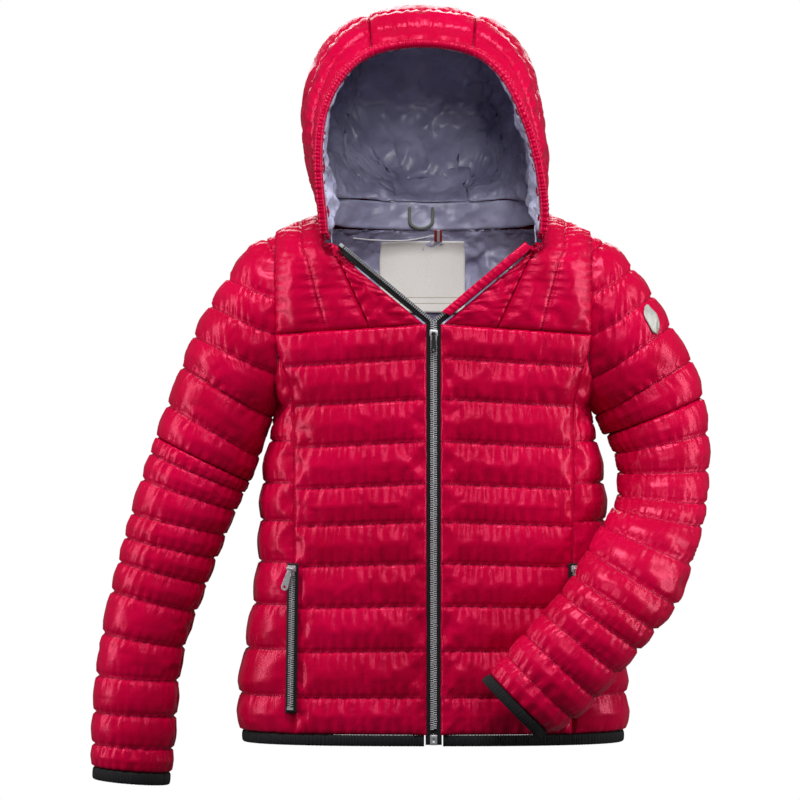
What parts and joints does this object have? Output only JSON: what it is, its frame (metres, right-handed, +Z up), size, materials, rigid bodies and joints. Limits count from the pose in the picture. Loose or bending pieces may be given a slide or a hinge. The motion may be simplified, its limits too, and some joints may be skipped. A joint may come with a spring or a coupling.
{
  "type": "ski jacket",
  "caption": "Crimson quilted down ski jacket with an attached hood, open neck, front zip, zipped side pockets, black elastic hem and cuffs, and grey lining.",
  "frame": {"origin": "at the hanger loop inside the back of the neck, in the plane of the front zip", "axes": "+Z up, the front of the jacket faces -Y, +X towards the wearer's left"},
  "size_m": [0.7415, 0.344, 0.9349],
  "materials": {
    "shell": "glossy quilted nylon, crimson",
    "lining": "glossy smooth nylon, lavender grey",
    "black_tape": "woven black zip tape",
    "elastic": "matte black elastic binding",
    "metal": "polished nickel plate",
    "loop": "grey-green cord",
    "ribbon": "red woven ribbon",
    "label": "ivory satin",
    "string": "white cotton string",
    "badge": "satin off-white relief badge"
  },
  "bodies": {
    "jacket_body": {"back_lining": "lining", "back_panel": "shell", "back_yoke": "shell", "front_lining_left": "lining", "front_lining_right": "lining", "front_panel_left": "shell", "front_panel_right": "shell", "front_yoke_left": "shell", "front_yoke_right": "shell", "hanger_loop": "loop", "hem_binding": "elastic", "neck_label": "label", "neck_lining": "lining", "pocket_bag_left": "lining", "pocket_bag_right": "lining", "pocket_stop_left": "metal", "pocket_stop_right": "metal", "pocket_tape_left": "black_tape", "pocket_tape_right": "black_tape", "pocket_teeth_left": "metal", "pocket_teeth_right": "metal", "side_panel_left": "shell", "side_panel_right": "shell", "size_ribbon": "ribbon", "tag_string": "string", "zip_facing": "shell", "zip_retainer_box": "metal", "zip_tape_left": "black_tape", "zip_tape_right": "black_tape", "zip_teeth_left": "metal", "zip_teeth_right": "metal", "zip_top_stop_left": "metal", "zip_top_stop_right": "metal"},
    "hood": {"hood_centre": "shell", "hood_edge": "shell", "hood_left": "shell", "hood_lining": "lining", "hood_right": "shell"},
    "right_upper_sleeve": {"right_upper_sleeve_front": "shell", "right_upper_sleeve_back": "shell"},
    "right_forearm": {"right_forearm_front": "shell", "right_forearm_back": "shell", "right_cuff": "elastic"},
    "left_upper_sleeve": {"left_upper_sleeve_front": "shell", "left_upper_sleeve_back": "shell", "sleeve_badge": "badge"},
    "left_forearm": {"left_forearm_front": "shell", "left_forearm_back": "shell", "left_cuff": "elastic"},
    "front_zip_slider": {"front_zip_slider": "metal"},
    "front_zip_pull": {"front_zip_pull": "metal"},
    "pocket_slider_right": {"pocket_slider_right": "metal"},
    "pocket_pull_right": {"pocket_pull_right": "metal"},
    "pocket_slider_left": {"pocket_slider_left": "metal"},
    "pocket_pull_left": {"pocket_pull_left": "metal"}
  },
  "joints": [
    {"name": "hood_tilt", "type": "hinge", "parent": "jacket_body", "child": "hood", "pos_m": [0, 0.022, -0.005], "axis": [-1, 0, 0], "range_deg": [0, 35]},
    {"name": "right_shoulder_swing", "type": "hinge", "parent": "jacket_body", "child": "right_upper_sleeve", "pos_m": [-0.19, -0.058, -0.131], "axis": [-1, 0, 0], "range_deg": [0, 40]},
    {"name": "right_elbow_bend", "type": "hinge", "parent": "right_upper_sleeve", "child": "right_forearm", "pos_m": [-0.306, -0.058, -0.3795], "axis": [-0.974, 0, 0.2267], "range_deg": [0, 50]},
    {"name": "left_shoulder_swing", "type": "hinge", "parent": "jacket_body", "child": "left_upper_sleeve", "pos_m": [0.19, -0.058, -0.131], "axis": [-1, 0, 0], "range_deg": [0, 40]},
    {"name": "left_elbow_bend", "type": "hinge", "parent": "left_upper_sleeve", "child": "left_forearm", "pos_m": [0.2745, -0.078, -0.313], "axis": [-0.9998, 0, -0.018], "range_deg": [0, 50]},
    {"name": "front_zip_slide", "type": "slide", "parent": "jacket_body", "child": "front_zip_slider", "axis": [0, 0, -1], "range_m": [0, 0.461]},
    {"name": "front_zip_pull_swing", "type": "hinge", "parent": "front_zip_slider", "child": "front_zip_pull", "pos_m": [0, -0.1626, -0.1495], "axis": [-1, 0, 0], "range_deg": [0, 100]},
    {"name": "pocket_zip_slide_right", "type": "slide", "parent": "jacket_body", "child": "pocket_slider_right", "axis": [-0.0127, -0.0366, -0.9992], "range_m": [0, 0.153]},
    {"name": "pocket_pull_swing_right", "type": "hinge", "parent": "pocket_slider_right", "child": "pocket_pull_right", "pos_m": [-0.16928, -0.14175, -0.42713], "axis": [-0.9291, 0.3697, -0.0017], "range_deg": [0, 100]},
    {"name": "pocket_zip_slide_left", "type": "slide", "parent": "jacket_body", "child": "pocket_slider_left", "axis": [0.0127, -0.0366, -0.9992], "range_m": [0, 0.153]},
    {"name": "pocket_pull_swing_left", "type": "hinge", "parent": "pocket_slider_left", "child": "pocket_pull_left", "pos_m": [0.16928, -0.14175, -0.42713], "axis": [-0.9291, -0.3697, 0.0017], "range_deg": [0, 15]}
  ]
}
